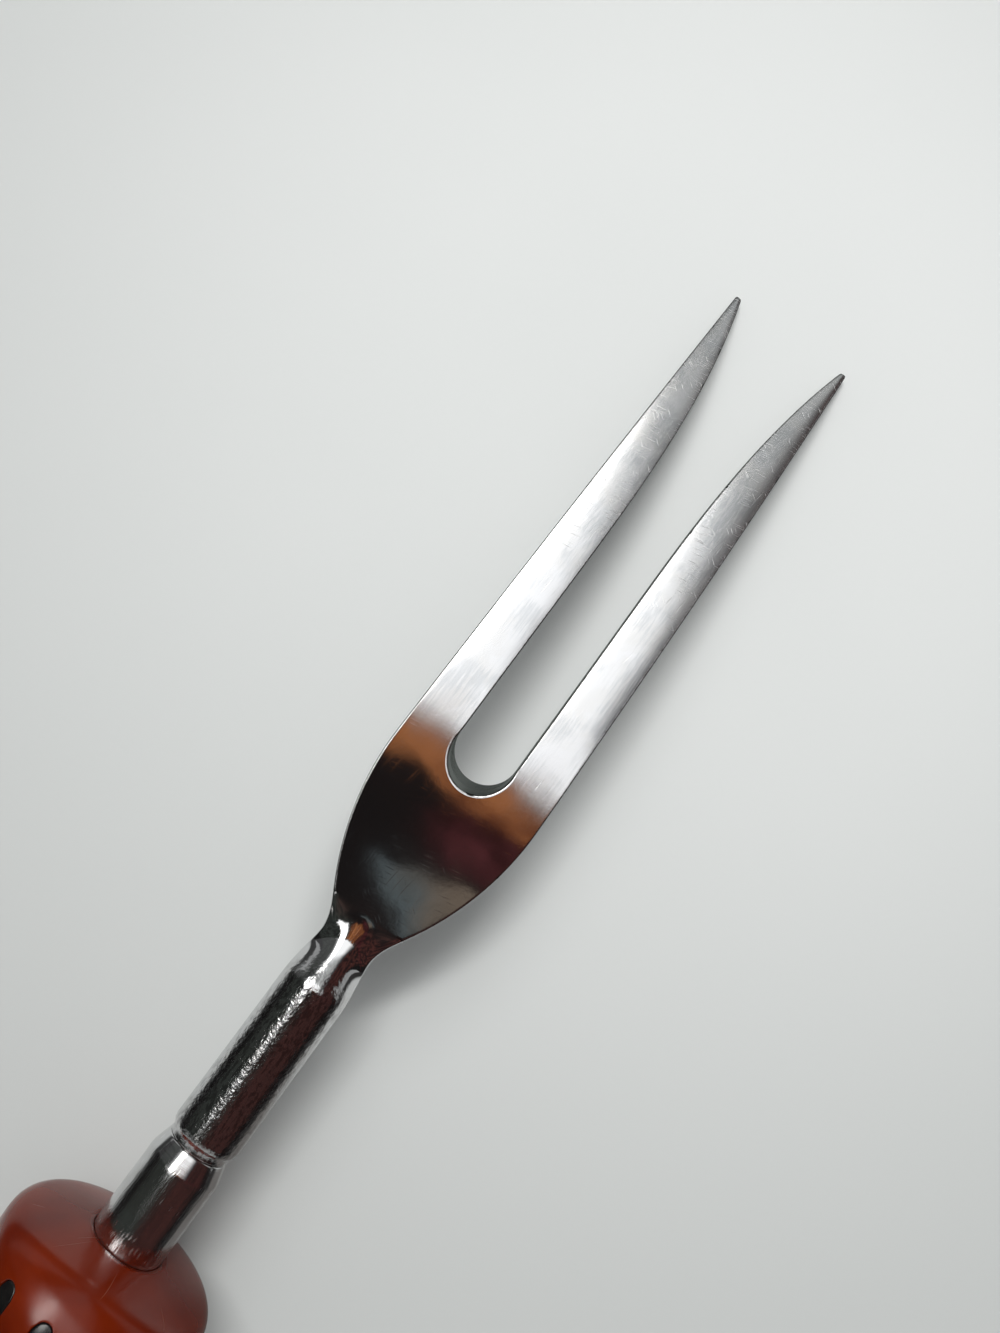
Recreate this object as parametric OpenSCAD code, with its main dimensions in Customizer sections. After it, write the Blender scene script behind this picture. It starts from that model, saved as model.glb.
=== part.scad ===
// Two-tined meat fork lying at rest, tines towards +X, +Z up, millimetres.
// The origin is under the middle of the fork, on the surface that the handle and the two tips lie on.

/* [Tines] */
// Length of a tine, from the bottom of the crotch to its tip
tine_l = 85.7; // [65:0.1:110]
// Gap between the two tines
tine_gap = 9; // [7:0.1:12]
// Width of a tine beside the crotch
tine_w = 6.8; // [5:0.1:8]
// Length of the pointed end, where the inner edge curves out
point_l = 55; // [30:0.5:65]
// How the pointed end's inner edge curves: 2 evenly, more keeps it straight for longer
point_power = 2.75; // [2:0.05:4]
// Width over both tips, outside to outside
tip_span = 21.2; // [17:0.1:23]
// Width of a tine's blunt tip
tip_w = 0.9; // [0.4:0.1:1.5]
// Thickness of a tine at its tip
tip_t = 1.4; // [0.8:0.1:2]

/* [Head] */
// Length of the head, from the narrowest part of the neck to the bottom of the crotch
head_l = 24.5; // [22:0.1:34]
// Thickness of the flat head
plate_t = 3.2; // [2:0.1:3.6]
// Depth of the head's middle below the shank's axis
plate_drop = 0.2; // [0:0.1:2]
// Angle at which the head's sides spread from the neck
flare_angle = 29; // [22:0.5:34]
// Radius of the head's shoulders
shoulder_r = 40; // [20:0.5:50]
// Flat length of the head before the crotch at which the tines begin to arch down
arch_lead = 8.3; // [2:0.1:12]
// Lean of the crotch's end wall back towards the handle, from upright
crotch_lean = 28; // [0:1:35]

/* [Shank and tang] */
// Diameter of the round shank
shank_d = 9.4; // [8.6:0.1:11]
// Length of the shank's parallel part
shank_l = 22; // [12:0.5:40]
// Length over which the shank is drawn down to the neck
neck_l = 7.5; // [4:0.1:12]
// Width of the neck where it is narrowest
neck_w = 7.8; // [6.4:0.1:8.4]
// Diameter of the tang inside the handle
tang_d = 6; // [4:0.1:6.6]
// Length of tang that screws into the end cap
thread_l = 9; // [5:0.5:9.5]

/* [Ferrule] */
// Diameter of the ferrule
ferrule_d = 9.7; // [9.4:0.1:12]
// Length of the ferrule's parallel part outside the handle
ferrule_l = 11.1; // [6:0.1:20]
// Length of the groove between ferrule and shank
groove_l = 3.9; // [2.6:0.1:6]
// Part of the groove's length that is the ferrule's coned front end
cone_l = 2.3; // [1:0.1:2.4]
// Depth of the groove below the shank's surface
groove_depth = 0.6; // [0.3:0.05:0.8]
// Depth that the ferrule goes into the handle
seat_depth = 3.2; // [2:0.1:8]
// Thickness of the washer under the ferrule's end
seat_washer_t = 0.8; // [0.5:0.1:1.5]

/* [Handle] */
// Diameter of the handle
grip_d = 28.2; // [26:0.2:34]
// Length of the handle
grip_l = 96; // [70:1:120]
// How far the domed front stands ahead of the barrel, measured at the ferrule's socket
dome_rise = 2.3; // [1:0.1:5]
// Radius of the edge between the domed front and the barrel
front_r = 2.5; // [1:0.1:4]
// Radius of the handle's rounded rear edge
rear_r = 4; // [1:0.5:4.5]

/* [Inlays] */
// Number of inlaid strips around the handle
flute_n = 14; // [8:1:16]
// Width of a strip
flute_w = 2.5; // [1.6:0.1:3.4]
// Depth of a strip
flute_depth = 1.4; // [0.8:0.1:2]
// Distance from the handle's front face to a strip's round end
flute_front = 4.8; // [4:0.1:14]
// Distance from the handle's rear face to a strip's round end
flute_rear = 7.4; // [5:0.1:14]
// Turn of the ring of strips about the handle's axis, from the top
flute_turn = 8; // [0:0.2:24]

/* [End cap] */
// Diameter of the cap's flange
cap_d = 19; // [16:0.2:20]
// Thickness of the flange
cap_t = 3; // [2:0.1:5]
// Radius of the flange's rounded rear edge
cap_edge_r = 1.5; // [0.5:0.1:1.8]
// Diameter of the threaded spigot inside the handle
spigot_d = 10.4; // [9:0.1:13]
// Length of the spigot
spigot_l = 10; // [10:0.5:16]
// Thickness of the washer under the flange
cap_washer_t = 0.8; // [0.5:0.1:1.5]
// Diameter of the hang hole
hang_d = 5.5; // [3:0.1:6]
// Width of metal around the hang hole
eye_wall = 3; // [2:0.1:4]
// Thickness of the eye that the hang hole goes through
eye_t = 6; // [4:0.1:8]
// Distance from the flange to the middle of the hang hole
eye_reach = 6.2; // [5.8:0.1:12]

/* [Fits] */
// Radial clearance of a piece in its socket
socket_clear = 0.15; // [0.05:0.05:0.3]
// Radial clearance of the tang in the pieces threaded over it
tang_clear = 0.1; // [0.05:0.05:0.3]
// Clearance around a strip in its slot
inlay_clear = 0.03; // [0.01:0.01:0.1]
// Free depth beyond the end of the tang in the cap
thread_spare = 0.5; // [0.2:0.1:2]

/* [Hidden] */
$fn = 96;
arch_fn = 1440;
arc_steps = 10;
over = 1;
flare_min = 0.5;

// Heights: the handle's underside and the tips lie on z = 0
axis_z = grip_d / 2;
plate_top = axis_z - plate_drop + plate_t / 2;
plate_bottom = axis_z - plate_drop - plate_t / 2;

// Stations along the fork, from the butt to the tips
eye_r = hang_d / 2 + eye_wall;
cap_out = cap_washer_t + cap_t + eye_reach + eye_r;
steel_out = ferrule_l + groove_l + shank_l + neck_l + head_l + tine_l;
butt_x = -(cap_out + grip_l + steel_out) / 2;
rear_x = butt_x + cap_out;
front_x = rear_x + grip_l;
cone_x = front_x + ferrule_l;
joint_x = cone_x + cone_l;
shank_x = cone_x + groove_l;
taper_x = shank_x + shank_l;
neck_x = taper_x + neck_l;
crotch_x = neck_x + head_l;
tip_x = crotch_x + tine_l;
arch_x = crotch_x - arch_lead;
flange_x = rear_x - cap_washer_t;
hang_x = flange_x - cap_t - eye_reach;
socket_x = front_x - seat_depth - seat_washer_t;
spigot_x = flange_x + spigot_l;
tang_x = spigot_x - thread_l;

// Radii shared by pieces that fit each other
shank_r = shank_d / 2;
tang_r = tang_d / 2;
bore_r = tang_r + tang_clear;
groove_r = shank_r - groove_depth;
socket_r = ferrule_d / 2 + socket_clear;
spigot_seat_r = spigot_d / 2 + socket_clear;
grip_r = grip_d / 2;

// Domed front of the handle: a ball's cap through the socket's mouth, eased into the barrel by an edge
dome_back = (grip_r * grip_r - socket_r * socket_r - dome_rise * dome_rise) / (2 * dome_rise);
dome_r = norm([grip_r, dome_back]);
dome_x = front_x - dome_rise - dome_back;
edge_x = dome_x + sqrt(pow(dome_r - front_r, 2) - pow(grip_r - front_r, 2));
dome_edge_r = dome_r * (grip_r - front_r) / (dome_r - front_r);

// Outline of the head and tines, one side
head_half = tine_gap / 2 + tine_w;
bend_r = min(shoulder_r, (head_half - neck_w / 2 - flare_min) / (1 - cos(flare_angle)));
bend_start_y = head_half - bend_r * (1 - cos(flare_angle));
bend_start_x = neck_x + (bend_start_y - neck_w / 2) / tan(flare_angle);
bend_end_x = bend_start_x + bend_r * sin(flare_angle);
point_run = min(point_l, tine_l - tine_gap);
point_rise = tip_span / 2 - tip_w - tine_gap / 2;

// Radius of the arc that leaves its start level and has moved sideways by rise after run
function arc_radius(run, rise) = (run * run + rise * rise) / (2 * rise);

// Smooth step from 0 to 1
function ease(t) = (1 - cos(180 * t)) / 2;

// Lays a profile of [radius, x] around the shank's axis
module around_axis() {
    translate([0, 0, axis_z]) rotate([0, 90, 0]) rotate_extrude() children();
}

// Sweeps a profile of [x, z] across the fork
module across(width) {
    rotate([90, 0, 0]) linear_extrude(height = width, center = true) children();
}

// Rectangle of a ring's section, in [radius, x]
module ring_section(inner_r, outer_r, from_x, to_x) {
    translate([inner_r, from_x]) square([outer_r - inner_r, to_x - from_x]);
}

// Head and tines from above, with the gap still closed
module head_outline() {
    side = concat(
        [[neck_x, neck_w / 2]],
        [for (i = [0 : arc_steps])
            let (a = flare_angle * (1 - i / arc_steps))
            [bend_end_x - bend_r * sin(a), head_half - bend_r * (1 - cos(a))]],
        [[tip_x, tip_span / 2]]);
    polygon(concat(side, [for (i = [len(side) - 1 : -1 : 0]) [side[i].x, -side[i].y]]));
}

// Gap between the tines from above: a round crotch, a parallel run and the curved points
module gap_outline() {
    side = concat(
        [[crotch_x + tine_gap / 2, tine_gap / 2]],
        [for (i = [0 : 2 * arc_steps])
            let (t = i / (2 * arc_steps))
            [tip_x - point_run * (1 - t), tine_gap / 2 + point_rise * pow(t, point_power)]],
        [[tip_x + over, tip_span / 2 - tip_w]]);
    translate([crotch_x + tine_gap / 2, 0]) circle(d = tine_gap);
    polygon(concat(side, [for (i = [len(side) - 1 : -1 : 0]) [side[i].x, -side[i].y]]));
}

// Round file that leans back through the crotch's end, its lowest edge on the gap's own
module crotch_file() {
    translate([crotch_x, 0, plate_bottom]) rotate([0, -crotch_lean, 0])
        translate([tine_gap / 2, 0, -over]) cylinder(d = tine_gap, h = 2 * plate_t + over);
}

// Head and tines from the side: level to the arch, then thinning as they curve down to the surface
module arch_profile() {
    run = tip_x - arch_x;
    top_r = arc_radius(run, plate_top - tip_t);
    bottom_r = arc_radius(run, plate_bottom);
    translate([neck_x, plate_bottom]) square([arch_x - neck_x, plate_t]);
    intersection() {
        translate([arch_x, 0]) square([run, plate_top]);
        difference() {
            translate([arch_x, plate_top - top_r]) circle(r = top_r, $fn = arch_fn);
            translate([arch_x, plate_bottom - bottom_r]) circle(r = bottom_r, $fn = arch_fn);
        }
    }
}

// Half height or width along the bar: clear of it up to the taper, drawn down there, then on into the head
function drawn(full, slim) = concat(
    [[tang_x - over, full + over]],
    [for (i = [0 : arc_steps])
        let (t = i / arc_steps)
        [taper_x + neck_l * t, full + (slim - full) * ease(t)]],
    [[neck_x + over, slim - over / 4]]);

// Turned bar: tang, foot of the groove and shank, with a concave rise out of the groove
module turned_bar() {
    rise_l = shank_x - joint_x;
    rise_r = arc_radius(rise_l, groove_depth);
    around_axis() {
        ring_section(0, tang_r, tang_x, joint_x + over);
        difference() {
            ring_section(0, shank_r, joint_x, neck_x + over);
            translate([groove_r + rise_r, joint_x]) circle(r = rise_r);
        }
    }
}

// The same bar pressed down at its front end to the neck, as thick there as the head
module round_bar() {
    top = [for (p = drawn(shank_r, plate_top - axis_z)) [p.x, axis_z + p.y]];
    bottom = [for (p = drawn(shank_r, axis_z - plate_bottom)) [p.x, axis_z - p.y]];
    left = drawn(shank_r, neck_w / 2);
    right = [for (p = left) [p.x, -p.y]];
    last = len(left) - 1;
    intersection() {
        turned_bar();
        across(shank_d + over) polygon(concat(top, [for (i = [last : -1 : 0]) bottom[i]]));
        linear_extrude(height = grip_d) polygon(concat(left, [for (i = [last : -1 : 0]) right[i]]));
    }
}

// Strip's outline along the handle, with round ends
module flute_outline(clear) {
    length = grip_l - flute_front - flute_rear;
    end = (length - flute_w) / 2;
    square([2 * end, flute_w - 2 * clear], center = true);
    for (s = [-1, 1]) translate([s * end, 0]) circle(d = flute_w - 2 * clear);
}

// Ring of upright strips around the handle, reaching past its surface
module flute_ring(clear) {
    middle_x = (rear_x + flute_rear + front_x - flute_front) / 2;
    for (i = [0 : flute_n - 1])
        translate([middle_x, 0, axis_z]) rotate([-flute_turn - i * 360 / flute_n, 0, 0])
            translate([0, 0, grip_r - flute_depth + clear])
                linear_extrude(height = flute_depth + over) flute_outline(clear);
}

// Section of the handle: a straight barrel, domed in front and rounded behind
module grip_section() {
    ring_section(0, grip_r, rear_x + rear_r, edge_x);
    ring_section(0, grip_r - rear_r, rear_x, rear_x + rear_r);
    translate([grip_r - rear_r, rear_x + rear_r]) circle(r = rear_r);
    translate([grip_r - front_r, edge_x]) circle(r = front_r);
    intersection() {
        ring_section(0, dome_edge_r, edge_x, front_x + over);
        translate([0, dome_x]) circle(r = dome_r);
    }
}

module fork_forging() {
    color("silver") union() {
        round_bar();
        difference() {
            intersection() {
                across(2 * head_half + over) arch_profile();
                linear_extrude(height = grip_d) difference() {
                    head_outline();
                    gap_outline();
                }
            }
            crotch_file();
        }
    }
}

module ferrule() {
    outer_r = ferrule_d / 2;
    end_x = front_x - seat_depth;
    color("lightgray") around_axis() polygon([
        [bore_r, end_x], [outer_r, end_x], [outer_r, cone_x], [groove_r, joint_x], [bore_r, joint_x]]);
}

module seat_washer() {
    color("dimgray") around_axis()
        ring_section(bore_r, ferrule_d / 2, socket_x, socket_x + seat_washer_t);
}

module grip() {
    color("sienna") difference() {
        around_axis() grip_section();
        around_axis() {
            ring_section(0, bore_r, rear_x - over, front_x + over);
            ring_section(0, socket_r, socket_x, front_x + over);
            ring_section(0, spigot_seat_r, rear_x - over, spigot_x + socket_clear);
        }
        flute_ring(0);
    }
}

module flute_inlays() {
    color("black") intersection() {
        flute_ring(inlay_clear);
        around_axis() grip_section();
    }
}

module cap_washer() {
    color("dimgray") around_axis()
        ring_section(spigot_seat_r, cap_d / 2, flange_x, rear_x);
}

module end_cap() {
    back_x = flange_x - cap_t;
    outer_r = cap_d / 2;
    color("lightgray") difference() {
        union() {
            around_axis() {
                ring_section(0, outer_r, back_x + cap_edge_r, flange_x);
                ring_section(0, outer_r - cap_edge_r, back_x, flange_x);
                translate([outer_r - cap_edge_r, back_x + cap_edge_r]) circle(r = cap_edge_r);
                ring_section(0, spigot_d / 2, flange_x, spigot_x);
            }
            translate([0, 0, axis_z - eye_t / 2]) linear_extrude(height = eye_t) {
                translate([hang_x, 0]) circle(r = eye_r);
                translate([hang_x, -eye_r]) square([eye_reach + cap_t / 2, 2 * eye_r]);
            }
        }
        around_axis() ring_section(0, bore_r, tang_x - thread_spare, spigot_x + over);
        translate([hang_x, 0, axis_z]) cylinder(d = hang_d, h = eye_t + over, center = true);
    }
}

fork_forging();
ferrule();
seat_washer();
grip();
flute_inlays();
cap_washer();
end_cap();
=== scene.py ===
"""Meat fork: polished forged steel, chromed ferrule and cap, amber handle with black inlaid strips."""

import math

import bmesh
import bpy
from mathutils import Matrix, Vector


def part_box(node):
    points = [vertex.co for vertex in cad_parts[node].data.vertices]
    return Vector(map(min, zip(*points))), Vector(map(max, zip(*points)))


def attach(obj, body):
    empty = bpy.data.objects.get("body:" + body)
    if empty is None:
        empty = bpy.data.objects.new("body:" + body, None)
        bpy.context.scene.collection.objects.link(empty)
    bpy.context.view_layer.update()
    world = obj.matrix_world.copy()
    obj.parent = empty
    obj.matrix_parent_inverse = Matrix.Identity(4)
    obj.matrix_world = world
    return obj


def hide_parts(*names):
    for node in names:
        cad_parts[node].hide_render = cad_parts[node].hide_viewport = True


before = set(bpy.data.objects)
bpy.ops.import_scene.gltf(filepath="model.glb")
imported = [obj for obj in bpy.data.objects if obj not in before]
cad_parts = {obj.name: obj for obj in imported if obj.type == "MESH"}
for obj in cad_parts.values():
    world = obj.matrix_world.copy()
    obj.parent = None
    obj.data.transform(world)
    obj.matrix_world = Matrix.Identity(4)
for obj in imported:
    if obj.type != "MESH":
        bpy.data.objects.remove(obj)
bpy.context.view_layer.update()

# Sizes in millimetres, and the scale to the frame's metres
MM = 0.001
PLATE_T = 3.2
PLATE_DROP = 0.2
FLARE = math.radians(29)
SHOULDER_R = 40.0
HEAD_L = 24.5
ARCH_LEAD = 8.3
CROTCH_LEAN = math.radians(28)
TINE_L = 85.7
TINE_GAP = 9.0
TINE_CROWN = 0.033
POINT_L = 55.0
POINT_POWER = 2.75
TIP_SPAN = 21.2
TIP_W = 0.9
TIP_T = 1.4
NECK_RIM_R = 0.5
TINE_RIM_R = 0.24
GAP_RIM_R = 0.35
RIM_SHARE = 0.38
SHANK_R = 4.7
NECK_L = 7.5
NECK_W = 7.8
TANG_R = 3.0
GROOVE_R = 4.1
CONE_L = 2.3
GROOVE_L = 3.9
SOCKET_R = 5.0
DOME_RISE = 2.3
FRONT_EDGE_R = 2.5
FRONT_SOFT_R = 6.5
REAR_EDGE_R = 4.0
FLUTES = 14
FLUTE_W = 2.5
FLUTE_DEPTH = 1.4
FLUTE_FRONT = 4.8
FLUTE_REAR = 7.4
FLUTE_TURN = math.radians(8)
SLOT_EASE = 0.12
STRIP_GAP = 0.05
STRIP_SUNK = 0.1
STRIP_EASE = 0.22
CAP_EASE = 0.35


def span(node):
    """Lowest and highest corner of a CAD node, in millimetres."""
    low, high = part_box(node)
    return low / MM, high / MM


# Stations along the fork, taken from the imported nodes
grip_low, grip_high = span("grip")
steel_low, steel_high = span("fork_forging")
sleeve_low, sleeve_high = span("ferrule")
REAR_X, FRONT_X = grip_low.x, grip_high.x
GRIP_R = (grip_high.z - grip_low.z) / 2
AXIS_Z = (grip_high.z + grip_low.z) / 2
TANG_X, TIP_X = steel_low.x, steel_high.x
SLEEVE_END_X, JOINT_X = sleeve_low.x, sleeve_high.x
SLEEVE_R = (sleeve_high.z - sleeve_low.z) / 2
SPIGOT_X = span("end_cap")[1].x
CONE_X = JOINT_X - CONE_L
SHANK_X = CONE_X + GROOVE_L
CROTCH_X = TIP_X - TINE_L
NECK_X = CROTCH_X - HEAD_L
TAPER_X = NECK_X - NECK_L
ARCH_X = CROTCH_X - ARCH_LEAD
POINT_X = TIP_X - POINT_L
HEAD_HALF = steel_high.y
PLATE_Z = AXIS_Z - PLATE_DROP
PLATE_TOP = PLATE_Z + PLATE_T / 2
PLATE_BOTTOM = PLATE_Z - PLATE_T / 2


# Small helpers for shapes


def lerp(a, b, t):
    return a + (b - a) * t


def smooth(t):
    """Soft step from 0 to 1."""
    t = min(1.0, max(0.0, t))
    return t * t * (3 - 2 * t)


def ease(t, start, end):
    """Soft step from 0 at start to 1 at end."""
    return smooth((t - start) / (end - start))


def blunt_max(a, b, blend):
    """Larger of two heights, with the crease between them rounded."""
    near = max(0.0, blend - abs(a - b)) / blend
    return max(a, b) + near * near * blend / 4


def arc_radius(run, rise):
    """Radius of the arc that leaves its start level and has moved sideways by rise after run."""
    return (run * run + rise * rise) / (2 * rise)


def arc_move(run, radius):
    return radius - math.sqrt(radius * radius - run * run)


WELD = 0.0005
FINE_WELD = 0.0001


def finish_piece(bm, name, node, weld=WELD):
    """Welds a millimetre mesh, scales it to metres and makes it the piece that stands for a CAD node."""
    bmesh.ops.remove_doubles(bm, verts=bm.verts, dist=weld)
    bmesh.ops.recalc_face_normals(bm, faces=bm.faces)
    bmesh.ops.scale(bm, vec=(MM, MM, MM), verts=bm.verts)
    for face in bm.faces:
        face.smooth = True
    mesh = bpy.data.meshes.new(name)
    bm.to_mesh(mesh)
    bm.free()
    piece = bpy.data.objects.new(name, mesh)
    bpy.context.scene.collection.objects.link(piece)
    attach(piece, "root")
    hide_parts(node)
    return piece


def mapped_grid(bm, rows, columns, place):
    """Adds a grid of points and puts each of them where place(row, column) says."""
    made = bmesh.ops.create_grid(bm, x_segments=rows - 1, y_segments=columns - 1, size=1)
    points = {}
    for vert in made["verts"]:
        row = round((vert.co.x + 1) / 2 * (rows - 1))
        column = round((vert.co.y + 1) / 2 * (columns - 1))
        points[row, column] = vert
    for (row, column), vert in points.items():
        vert.co = place(row, column)
    return points


def lathe(bm, profile, steps):
    """Spins a closed profile of (x, radius) points once around the fork's axis."""
    verts = [bm.verts.new((x, 0, AXIS_Z + radius)) for x, radius in profile]
    edges = [bm.edges.new(pair) for pair in zip(verts, verts[1:] + verts[:1])]
    bmesh.ops.spin(bm, geom=verts + edges, cent=(0, 0, AXIS_Z), axis=(1, 0, 0), dvec=(0, 0, 0),
                   angle=2 * math.pi, steps=steps, use_merge=True)


# Forging: outlines of the head and tines

FLARE_EASE = 4.0
RIM_EASE = 6.0
CROTCH_EASE = 6.0
CROWN_EASE = 14.0
SHOULDER_Y = HEAD_HALF - SHOULDER_R * (1 - math.cos(FLARE))
SHOULDER_X = NECK_X + (SHOULDER_Y - NECK_W / 2) / math.tan(FLARE)
SHOULDER_END_X = SHOULDER_X + SHOULDER_R * math.sin(FLARE)
GAP_R = TINE_GAP / 2
CROTCH_CENTRE_X = CROTCH_X + GAP_R
TOP_ARC = arc_radius(TIP_X - ARCH_X, PLATE_TOP - TIP_T)
BOTTOM_ARC = arc_radius(TIP_X - ARCH_X, PLATE_BOTTOM)
POINT_RISE = TIP_SPAN / 2 - TIP_W - GAP_R


def top_z(x):
    return PLATE_TOP - (arc_move(min(x, TIP_X) - ARCH_X, TOP_ARC) if x > ARCH_X else 0)


def bottom_z(x):
    return PLATE_BOTTOM - (arc_move(min(x, TIP_X) - ARCH_X, BOTTOM_ARC) if x > ARCH_X else 0)


def outer_y(x):
    """Half width over the head and tines, with an eased start of the flare."""
    along = x - NECK_X
    if along < -FLARE_EASE / 2:
        return NECK_W / 2
    if along < FLARE_EASE / 2:
        return NECK_W / 2 + math.tan(FLARE) * (along + FLARE_EASE / 2) ** 2 / (2 * FLARE_EASE)
    if x < SHOULDER_X:
        return NECK_W / 2 + math.tan(FLARE) * along
    if x < SHOULDER_END_X:
        back = SHOULDER_END_X - x
        return HEAD_HALF - arc_move(back, SHOULDER_R)
    return lerp(HEAD_HALF, TIP_SPAN / 2, (x - SHOULDER_END_X) / (TIP_X - SHOULDER_END_X))


def inner_y(x):
    return GAP_R + POINT_RISE * max(0.0, (x - POINT_X) / POINT_L) ** POINT_POWER


def slope(outline, x, step=0.05):
    return (outline(x + step) - outline(x - step)) / (2 * step)


def inward(dx, dy):
    return Vector((dx, dy, 0)).normalized()


def edge_radius(x):
    """Rounding of the plate's edges: soft where it leaves the round neck, crisp on the tines."""
    return lerp(NECK_RIM_R, TINE_RIM_R, smooth((x - NECK_X) / RIM_EASE))


# The visible ramp from the round shank down to the head begins behind the taper and runs onto the head
LOFT_X = TAPER_X - 1.0
PLATE_END_X = NECK_X + 3.0
RAMP_ROWS = 36
RAMP_POWER = 1.5
CREASE_R = 0.8
CREASE_LEAST = 0.02

# Shares of the way back along the ramp
CREASE_BY = 0.3
WIDEN_FROM = 0.35
ROUND_BY = 0.6
LEVEL_FROM = 0.75

# Forging: stations along the horseshoe of head and tines, from a tip to the bottom of the crotch

TIP_CAP = ((0.0, 0.0), (0.04, 0.36), (0.12, 0.6), (0.25, 0.81), (0.42, 0.95), (0.6, 1.0))
POINT_STEPS, TINE_STEPS, ARC_STEPS, NECK_STEPS, FINE_STEPS = 36, 26, 18, 6, 400
NECK_ANGLE = math.radians(152)


def outer_path():
    """Points of the outer edge from beside the crotch back to the neck, evenly spaced."""
    fine = [lerp(CROTCH_CENTRE_X, PLATE_END_X, i / FINE_STEPS) for i in range(FINE_STEPS + 1)]
    walk = [0.0]
    for a, b in zip(fine, fine[1:]):
        walk.append(walk[-1] + math.hypot(b - a, outer_y(b) - outer_y(a)))
    stops, at = [], 0
    for i in range(ARC_STEPS + 1):
        want = walk[-1] * i / ARC_STEPS
        while at < FINE_STEPS - 1 and walk[at + 1] < want:
            at += 1
        part = (want - walk[at]) / (walk[at + 1] - walk[at])
        stops.append(lerp(fine[at], fine[at + 1], part))
    return stops


def crotch_station(angle, outer_x, across=None):
    """A station that runs from the crotch's arc to the head's outer edge, or to the neck's end."""
    rise = PLATE_T * math.tan(CROTCH_LEAN)
    foot = Vector((CROTCH_CENTRE_X + GAP_R * math.cos(angle), GAP_R * math.sin(angle), 0))
    rim = Vector((CROTCH_X - rise + GAP_R / math.cos(CROTCH_LEAN) * (1 + math.cos(angle)), foot.y, 0))
    in_way = inward(math.cos(angle), math.sin(angle))
    station = {"foot": foot, "rim": rim, "in_way": in_way, "in_r": GAP_RIM_R}
    if across is None:
        station["edge"] = Vector((outer_x, outer_y(outer_x), 0))
        station["out_way"] = inward(slope(outer_y, outer_x), -1)
        station["out_r"] = edge_radius(outer_x)
    else:
        station["edge"] = Vector((PLATE_END_X, across, 0))
        station["out_way"] = Vector((1, 0, 0))
        station["out_r"] = 0.0
    return station


def tine_station(x, size=1.0):
    """A station straight across one tine."""
    thick = top_z(x) - bottom_z(x)
    wide = outer_y(x) - inner_y(x)
    radius = min(edge_radius(x), RIM_SHARE * thick, RIM_SHARE * wide)
    fade = 1 - smooth((x - CROTCH_CENTRE_X) / CROTCH_EASE)
    rim_back = PLATE_T * math.tan(CROTCH_LEAN) + GAP_R - GAP_R / math.cos(CROTCH_LEAN)
    return {
        "foot": Vector((x, inner_y(x), 0)),
        "rim": Vector((x - rim_back * fade, inner_y(x), 0)),
        "in_way": inward(-slope(inner_y, x), 1),
        "in_r": min(GAP_RIM_R, radius),
        "edge": Vector((x, outer_y(x), 0)),
        "out_way": inward(slope(outer_y, x), -1),
        "out_r": radius,
        "crown": TINE_CROWN * wide * smooth((x - CROTCH_CENTRE_X) / CROWN_EASE),
        "size": size,
    }


def horseshoe():
    """Stations of the half on +Y: tip, tine, crotch and the middle of the neck."""
    stations = [tine_station(TIP_X - back, size) for back, size in TIP_CAP]
    start = TIP_X - TIP_CAP[-1][0]
    stations += [tine_station(lerp(start, POINT_X, i / POINT_STEPS)) for i in range(1, POINT_STEPS + 1)]
    stations += [tine_station(lerp(POINT_X, CROTCH_CENTRE_X, i / TINE_STEPS)) for i in range(1, TINE_STEPS)]
    for i, outer_x in enumerate(outer_path()):
        stations.append(crotch_station(lerp(math.pi / 2, NECK_ANGLE, i / ARC_STEPS), outer_x))
    half = outer_y(PLATE_END_X) - edge_radius(PLATE_END_X)
    for i in range(1, NECK_STEPS + 1):
        angle = lerp(NECK_ANGLE, math.pi, i / NECK_STEPS)
        stations.append(crotch_station(angle, PLATE_END_X, half * (1 - i / NECK_STEPS)))
    return stations


# Forging: the closed section at each station, from the gap's wall over the top and back below

ROUND_STEPS = 4
FLAT_POINTS = 12
FLAT_GUARD = 0.15
SECTION = 4 * (ROUND_STEPS + 1) + 2 * FLAT_POINTS
OUTER_FROM = ROUND_STEPS + 1 + FLAT_POINTS
OUTER_TO = OUTER_FROM + 2 * (ROUND_STEPS + 1) - 1


def flat_shares(length):
    """Shares of the way across a flat, with one point close to each rim to keep the flat true."""
    close = min(FLAT_GUARD / max(length, 0.001), 0.2)
    return [lerp(close, 1 - close, i / (FLAT_POINTS - 1)) for i in range(FLAT_POINTS)]


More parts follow.
